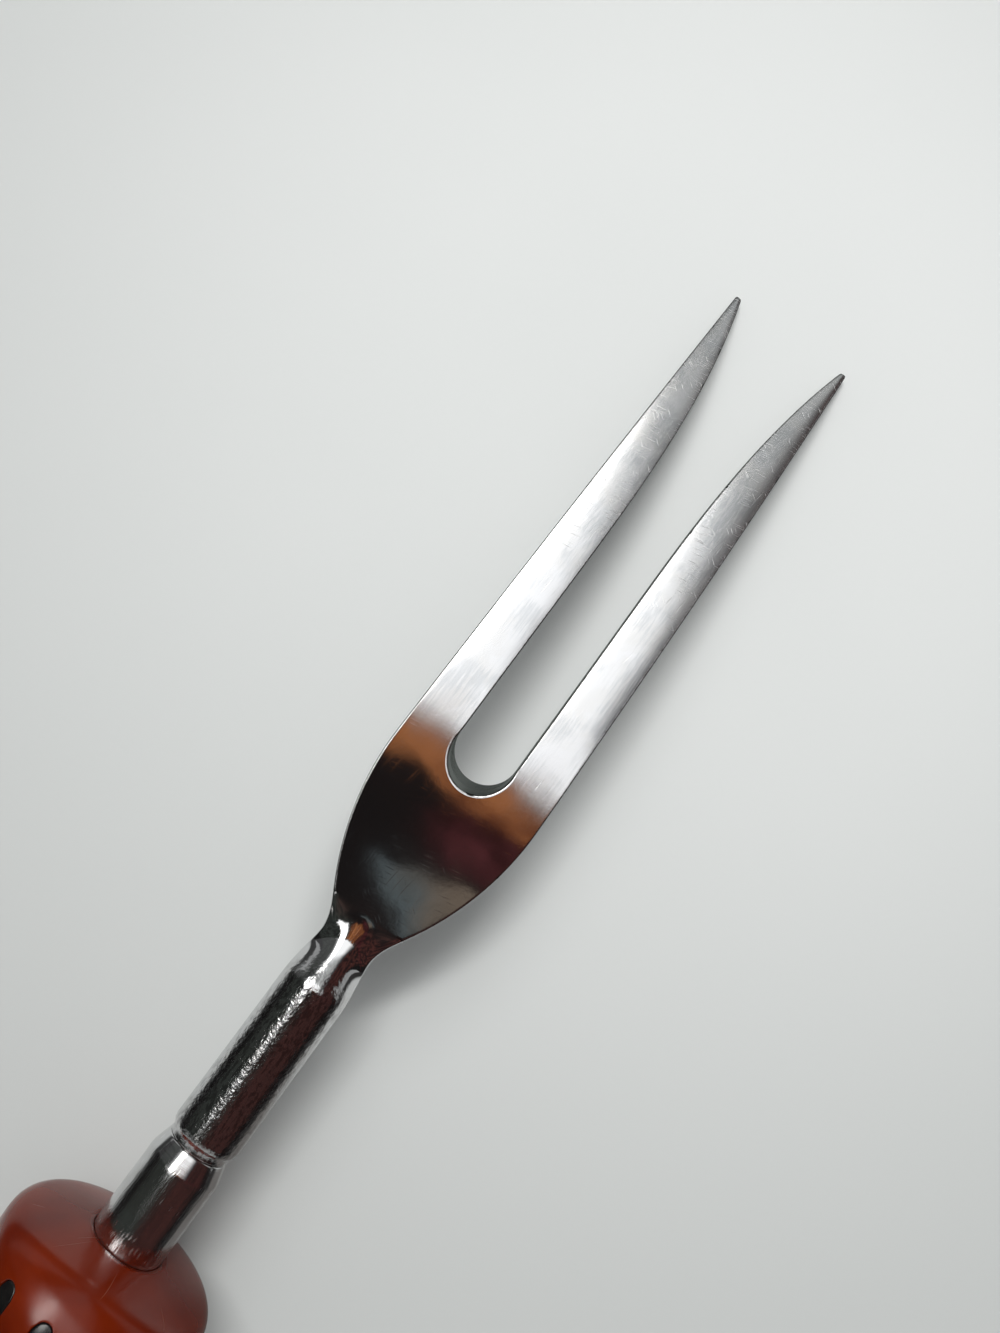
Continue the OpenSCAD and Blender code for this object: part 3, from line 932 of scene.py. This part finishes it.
def amber_plastic():
    """Glossy red-brown plastic with a faint darker cloud and fine hair scratches."""
    material, tree, shader, coords = new_material("amber_plastic")
    swirl = noise(tree, coords, 60.0, 3.0, Roughness=0.5, Distortion=1.2)
    film = use(tree, film_group, {"Vector": coords, "Scale": 160.0})
    hair = scratches(tree, unroll(tree, coords, GRIP_R), (170, 4200, 1), 0.05, 0.16, 0.6)
    base = blend_colour(tree, remap(tree, swirl, 0.32, 0.68), AMBER_DARK, AMBER_LIGHT)
    base = blend_colour(tree, both(tree, hair, 0.4), base, AMBER_SCRATCH)
    rough = added(tree, remap(tree, film, 0.0, 1.0, 0.17, 0.25), both(tree, hair, 0.3))
    peel = noise(tree, coords, 420.0, 2.0)
    height = math_node(tree, "SUBTRACT", both(tree, peel, 20.0), both(tree, hair, 12.0))
    shader.inputs["Subsurface Weight"].default_value = 0.1
    shader.inputs["Subsurface Radius"].default_value = (1.0, 0.3, 0.1)
    shader.inputs["Subsurface Scale"].default_value = 0.0015
    surface(tree, shader, base, rough, height)
    return material


def black_plastic():
    """Glossy black plastic with a few lengthwise rubs."""
    material, tree, shader, coords = new_material("black_plastic")
    film = use(tree, film_group, {"Vector": coords, "Scale": 240.0})
    along = scratches(tree, unroll(tree, coords, GRIP_R), (220, 3600, 1), 0.1, 0.15)
    base = blend_colour(tree, film, BLACK, BLACK_FILM)
    base = blend_colour(tree, both(tree, along, 0.3), base, BLACK_RUB)
    rough = remap(tree, film, 0.0, 1.0, 0.16, 0.26)
    height = math_node(tree, "SUBTRACT", both(tree, film, 8.0), both(tree, along, 8.0))
    surface(tree, shader, base, rough, height)
    return material


def fibre():
    """Dull pressed fibre with short threads."""
    material, tree, shader, coords = new_material("fibre")
    threads = use(tree, brush_group, {"Vector": coords, "Stretch": (2600, 500, 500)})
    base = blend_colour(tree, threads, FIBRE_DARK, FIBRE_LIGHT)
    surface(tree, shader, base, remap(tree, threads, 0.2, 0.8, 0.65, 0.85), threads, 40 * MICRON)
    return material


BACKDROP = (0.57, 0.582, 0.574, 1)
# Table colours: the middle is the centre of a painted pool of light, the outer colour is painted shade, and
# the darker mirrored colours are painted shade seen only in the polished steel.
TABLE_PALE, TABLE_PALER = (0.825, 0.84, 0.83, 1), (0.85, 0.862, 0.853, 1)
TABLE_PAINTED_SHADE_OUTER, TABLE_PAINTED_SHADE_FAR = (0.61, 0.623, 0.613, 1), (0.03, 0.03, 0.03, 1)
TABLE_PAINTED_SHADOW, TABLE_PAINTED_SHADE_AHEAD = (0.2, 0.19, 0.18, 1), (0.2, 0.22, 0.205, 1)
PAINTED_LIGHT_MIDDLE = (0.125, 0.006, 0)


def pale_table():
    """Pale table with a painted pool of light round the fork and painted shade further out, fading to the
    backdrop far off; in the polished steel it shows painted shade: a painted shadow beside the handle and
    painted shade ahead and to the sides.
    """
    material, tree, shader, coords = new_material("pale_table")
    place = put(tree, "ShaderNodeSeparateXYZ", {0: coords}).outputs
    base = blend_colour(tree, remap(tree, noise(tree, coords, 9.0, 3.0), 0.3, 0.7), TABLE_PALE, TABLE_PALER)
    from_middle = put(tree, "ShaderNodeVectorMath", {0: coords, 1: PAINTED_LIGHT_MIDDLE},
                      operation="DISTANCE").outputs["Value"]
    # Painted pool of light: the table is paler round the fork and turns to painted shade further out.
    base = blend_colour(tree, remap(tree, from_middle, 0.03, 0.175), base, TABLE_PAINTED_SHADE_OUTER)
    # What the polished steel sees of the table gets painted shade: a painted shadow beside the handle's
    # front, and painted shade ahead of the neck, beside the fork and far ahead.
    off_axis = math_node(tree, "ABSOLUTE", place["Y"])
    beside = remap(tree, off_axis, 0.045, 0.08)
    painted_shadow_mask = both(tree, remap(tree, place["Y"], -0.004, -0.02), remap(tree, place["X"], 0.01, -0.015))
    mirrored = blend_colour(tree, painted_shadow_mask, base, TABLE_PAINTED_SHADOW)
    mirrored = blend_colour(tree, reach(tree, place["X"], NECK_X + 6, NECK_X + 30), mirrored, TABLE_PAINTED_SHADE_AHEAD)
    onward = added(tree, place["X"], both(tree, place["Y"], 0.5))
    painted_shade_beyond = both(tree, remap(tree, off_axis, 0.008, 0.012), reach(tree, onward, NECK_X + 28, NECK_X + 42))
    mirrored = blend_colour(tree, math_node(tree, "MAXIMUM", beside, painted_shade_beyond), mirrored, TABLE_PAINTED_SHADE_FAR)
    rays = tree.nodes.new("ShaderNodeLightPath").outputs
    # Glossy rays see the table with this painted shadow and painted shade; all other rays see the plain
    # table.
    tree.links.new(blend_colour(tree, rays["Is Glossy Ray"], base, mirrored), shader.inputs["Base Color"])
    shader.inputs["Roughness"].default_value = 0.6
    shader.inputs["Specular IOR Level"].default_value = 0.2
    glow = put(tree, "ShaderNodeEmission", {"Color": BACKDROP}).outputs[0]
    away = both(tree, remap(tree, from_middle, 0.25, 1.2), rays["Is Camera Ray"])
    shown = put(tree, "ShaderNodeMixShader", {0: away, 1: shader.outputs[0], 2: glow}).outputs[0]
    tree.links.new(shown, tree.nodes["Material Output"].inputs["Surface"])
    return material


# Pieces and their finishes

fork_steel = build_forging()
amber_grip = build_grip()
black_strips = build_strips()
chrome_ferrule = build_ferrule()
chrome_cap = build_cap()


def dress(piece, material):
    piece.data.materials.clear()
    piece.data.materials.append(material)


plate = chrome_plate()
dress(fork_steel, polished_steel())
dress(chrome_ferrule, plate)
dress(chrome_cap, plate)
dress(amber_grip, amber_plastic())
dress(black_strips, black_plastic())
washer_finish = fibre()
dress(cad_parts["seat_washer"], washer_finish)
dress(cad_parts["cap_washer"], washer_finish)

# Camera: a close hand-held view from above the crotch, tilted a little towards the tips

CAMERA_PLACE = Vector((FRONT_X + 64.08, 4.13, 145.9))
CAMERA_LOOK = Vector((0.1448, 0.0102, -0.9894)).normalized()
PICTURE_UP = Vector((0.7931, 0.5967, 0.1222))
SENSOR = 36.0
FOCAL_PIXELS, PICTURE_PIXELS = 1000, 1333
picture_right = CAMERA_LOOK.cross(PICTURE_UP).normalized()
picture_up = picture_right.cross(CAMERA_LOOK)
lens = bpy.data.cameras.new("camera")
lens.sensor_width = SENSOR
lens.lens = SENSOR * FOCAL_PIXELS / PICTURE_PIXELS
lens.clip_start, lens.clip_end = 0.005, 50
camera = bpy.data.objects.new("camera", lens)
bpy.context.scene.collection.objects.link(camera)
turn = Matrix((picture_right, picture_up, -CAMERA_LOOK)).transposed().to_4x4()
camera.matrix_world = Matrix.Translation(CAMERA_PLACE * MM) @ turn
bpy.context.scene.camera = camera

# Table, lamps and surroundings

TABLE_HALF = 3
bm = bmesh.new()
bmesh.ops.create_grid(bm, x_segments=8, y_segments=8, size=TABLE_HALF)
floor_mesh = bpy.data.meshes.new("table")
bm.to_mesh(floor_mesh)
bm.free()
floor = bpy.data.objects.new("table", floor_mesh)
bpy.context.scene.collection.objects.link(floor)
floor.data.materials.append(pale_table())


def lamp(name, place, along, long_way, cross_way, watts, colour):
    """A soft lamp aimed at the fork, its long side turned towards a given direction."""
    light = bpy.data.lights.new(name, "AREA")
    light.shape = "RECTANGLE"
    light.size, light.size_y = long_way, cross_way
    light.energy = watts
    light.color = colour
    holder = bpy.data.objects.new(name, light)
    bpy.context.scene.collection.objects.link(holder)
    back = (place - LAMP_AIM).normalized()
    across = back.cross(along).normalized()
    turn = Matrix((across.cross(back), across, back)).transposed().to_4x4()
    holder.matrix_world = Matrix.Translation(place) @ turn
    holder.visible_glossy = False


LAMP_AIM = Vector((0.03, 0, 0))
WINDOW_WAY = Vector((0.8, -0.6, 0))
lamp("window_lamp", Vector((0.975, 0.525, 1.68)), WINDOW_WAY, 1.35, 0.24, 17.5, (1.0, 0.995, 0.98))
lamp("sky_lamp", Vector((1.44, 0.84, 2.16)), WINDOW_WAY, 1.8, 1.8, 30.5, (0.98, 1.0, 1.0))

# Surroundings: plain for the table, a dark room with a bright window side for what is polished

ROOM_DARK, ROOM_DARKEST = (0.012, 0.011, 0.011, 1), (0.012, 0.010, 0.010, 1)
ROOM_GREY, ROOM_LOW = (0.05, 0.05, 0.052, 1), (0.36, 0.367, 0.364, 1)
RED_DARK, RED_LIGHT = (0.020, 0.012, 0.012, 1), (0.085, 0.031, 0.026, 1)
RED_PATCH_DARK, RED_PATCH_LIGHT = (0.030, 0.010, 0.010, 1), (0.092, 0.026, 0.029, 1)
GREEN_DARK, GREEN_LIGHT = (0.022, 0.024, 0.022, 1), (0.046, 0.052, 0.046, 1)
WEDGE_BLUE, WEDGE_BROWN = (0.100, 0.122, 0.128, 1), (0.190, 0.150, 0.115, 1)
WARM_DARK, WARM_LIGHT = (0.13, 0.04, 0.018, 1), (0.42, 0.16, 0.06, 1)
WINDOW_FRAME, WINDOW_CORE = (0.06, 0.06, 0.062, 1), (7.0, 6.9, 6.7, 1)
WINDOW_LOW, WINDOW_HIGH = (0.52, 0.535, 0.53, 1), (1.40, 1.42, 1.43, 1)
STRIP_LIGHT, SMALL_LAMP = (1.6, 1.6, 1.6, 1), (2.2, 2.15, 2.1, 1)
PLAIN_LIGHT, PLAIN_STRENGTH = (0.94, 0.955, 0.96, 1), 0.27
LEAST_RISE = 0.03

world = bpy.data.worlds.new("surroundings")
world.use_nodes = True
bpy.context.scene.world = world
tree = world.node_tree
tree.nodes.clear()
direction = tree.nodes.new("ShaderNodeTexCoord").outputs["Generated"]
axes = put(tree, "ShaderNodeSeparateXYZ", {0: direction}).outputs
rise = math_node(tree, "MAXIMUM", axes["Z"], LEAST_RISE)
drift = put(tree, "ShaderNodeTexNoise", {"Vector": direction, "Scale": 16.0, "Detail": 1.5})
sway = put(tree, "ShaderNodeSeparateColor", {0: drift.outputs["Color"]}).outputs


def overhead_place(axis, shift, most):
    """Place along an axis on a level ceiling, in units of its height, moved a little by the sway."""
    swayed = remap(tree, shift, 0.0, 1.0, -most, most, False)
    return added(tree, math_node(tree, "DIVIDE", axis, rise), swayed)


ahead = overhead_place(axes["X"], sway[0], 0.05)
aside = overhead_place(axes["Y"], sway[1], 0.04)
sideways = math_node(tree, "ABSOLUTE", aside)


def slanted(share):
    """Place ahead, moved on by a share of the place aside."""
    return added(tree, ahead, both(tree, aside, share))


def past(value, start, full):
    """Mask that grows from start to full."""
    return remap(tree, value, start, full)


def patch(middle_ahead, middle_aside, long_way, cross_way, blur):
    """Soft oval in the room overhead."""
    dx = math_node(tree, "DIVIDE", math_node(tree, "SUBTRACT", ahead, middle_ahead), long_way)
    dy = math_node(tree, "DIVIDE", math_node(tree, "SUBTRACT", aside, middle_aside), cross_way)
    far = math_node(tree, "SQRT", added(tree, both(tree, dx, dx), both(tree, dy, dy)))
    return past(far, 1 + blur, 1 - blur)


streaky = noise(tree, direction, 11.0, 5.0, Roughness=0.7)
uneven = past(streaky, 0.40, 0.62)
red_side = blend_colour(tree, uneven, RED_DARK, RED_LIGHT)
neutral = both(tree, past(ahead, 0.05, 0.2), past(aside, -0.6, -0.42))
red_side = blend_colour(tree, neutral, red_side, ROOM_GREY)
green_side = blend_colour(tree, uneven, GREEN_DARK, GREEN_LIGHT)
wedge = both(tree, past(slanted(-0.8), -0.084, -0.066), past(slanted(0.28), -0.072, -0.080),
             past(slanted(1.8), -0.262, -0.238))
wedge_tint = blend_colour(tree, past(slanted(-0.8), -0.06, -0.015), WEDGE_BLUE, WEDGE_BROWN)
red_patch = both(tree, past(ahead, -0.05, -0.01), past(ahead, 0.08, 0.05), past(aside, -0.015, -0.06))
red_tint = blend_colour(tree, uneven, RED_PATCH_DARK, RED_PATCH_LIGHT)
overhead = both(tree, past(aside, -0.36, -0.2), past(aside, 0.24, 0.14))
warm = blend_colour(tree, past(streaky, 0.36, 0.60), WARM_DARK, WARM_LIGHT)
window = both(tree, past(ahead, 0.138, 0.168), past(aside, -0.5, -0.12),
              remap(tree, aside, 0.8, 0.42, 0.04, 1.0))
window_light = blend_colour(tree, past(slanted(-0.45), 0.98, 0.66), WINDOW_LOW, WINDOW_HIGH)
strip = both(tree, past(ahead, -0.37, -0.31), past(ahead, 0.25, 0.15),
             past(aside, 0.23, 0.30), past(aside, 0.43, 0.36))
low_front = both(tree, past(ahead, 1.9, 2.4), past(sideways, 1.9, 2.4))
behind = added(tree, sideways, both(tree, ahead, 0.9))
low_back = both(tree, past(ahead, -1.0, -1.4), past(behind, 0.1, -0.3))

# Each layer of the room covers the ones before it
room = red_side
for mask, colour in (
        (past(aside, -0.3, 0.3), green_side),
        (past(sideways, 2.2, 4.0), ROOM_DARK),
        (patch(-0.03, -0.02, 0.16, 0.16, 0.5), ROOM_DARKEST),
        (wedge, wedge_tint),
        (red_patch, red_tint),
        (both(tree, overhead, past(ahead, 0.035, 0.06)), warm),
        (both(tree, overhead, past(ahead, 0.128, 0.138)), WINDOW_FRAME),
        (window, window_light),
        (strip, STRIP_LIGHT),
        (patch(-0.76, 0.34, 0.07, 0.13, 0.2), SMALL_LAMP),
        (patch(0.45, 0.42, 0.60, 0.15, 0.3), WINDOW_CORE),
        (math_node(tree, "MAXIMUM", low_front, low_back), ROOM_LOW)):
    room = blend_colour(tree, mask, room, colour)

light_path = tree.nodes.new("ShaderNodeLightPath").outputs
mirrored = put(tree, "ShaderNodeBackground", {"Color": room, "Strength": 1.0}).outputs[0]
plain = put(tree, "ShaderNodeBackground", {"Color": PLAIN_LIGHT, "Strength": PLAIN_STRENGTH}).outputs[0]
backdrop = put(tree, "ShaderNodeBackground", {"Color": BACKDROP, "Strength": 1.0}).outputs[0]
mixed = put(tree, "ShaderNodeMixShader", {0: light_path["Is Glossy Ray"], 1: plain, 2: mirrored}).outputs[0]
mixed = put(tree, "ShaderNodeMixShader", {0: light_path["Is Camera Ray"], 1: mixed, 2: backdrop}).outputs[0]
tree.links.new(mixed, tree.nodes.new("ShaderNodeOutputWorld").inputs[0])

bpy.context.scene.view_settings.view_transform = "Standard"
